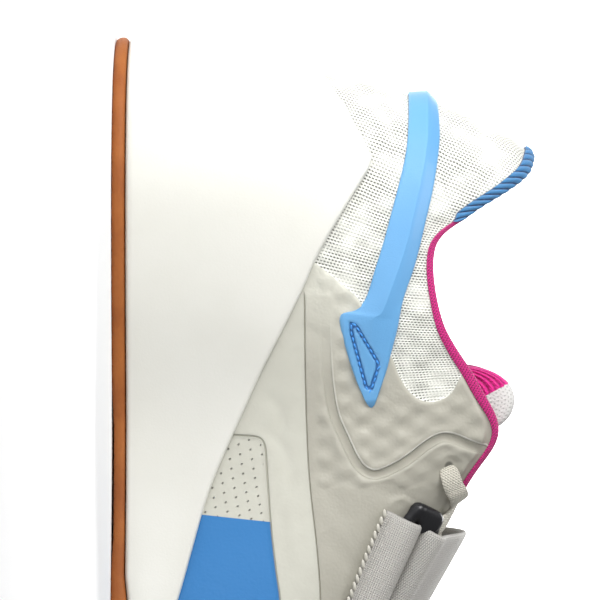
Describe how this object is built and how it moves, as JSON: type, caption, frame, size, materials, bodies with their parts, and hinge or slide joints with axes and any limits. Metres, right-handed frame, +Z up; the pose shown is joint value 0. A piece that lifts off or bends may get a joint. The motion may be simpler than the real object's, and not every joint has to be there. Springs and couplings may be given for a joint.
{
  "type": "weightlifting shoe",
  "caption": "Low lace-up lifting shoe with a raised hard heel cup, flat gum outsole, hollow upper, padded tongue and an instep strap through a ring.",
  "frame": {"origin": "on the floor plane under the middle of the heel, 45 mm ahead of the rearmost point", "axes": "+X to the toe, +Z up, -Y to the medial (big-toe) side"},
  "size_m": [0.3001, 0.1063, 0.1288],
  "materials": {
    "gum_rubber": "satin gum",
    "white_shell": "smooth satin",
    "white_leather": "fine grain",
    "insole_cloth": "brushed",
    "white_knit": "knit",
    "blue_rubber": "satin",
    "magenta_tape": "woven",
    "blue_lining": "ribbed",
    "grey_webbing": "ribbed webbing",
    "black_plastic": "glossy",
    "lace_cloth": "flat woven"
  },
  "bodies": {
    "root": {"outsole": "gum_rubber", "heel_clip": "white_shell", "upper": "white_leather", "insole": "insole_cloth", "tongue": "white_knit", "toe_cap": "white_leather", "heel_strip": "blue_rubber", "collar_binding_medial": "magenta_tape", "collar_binding_lateral": "magenta_tape", "heel_lining": "blue_lining", "strap": "grey_webbing", "strap_anchor": "grey_webbing", "strap_ring": "black_plastic", "laces": "lace_cloth"}
  },
  "joints": []
}
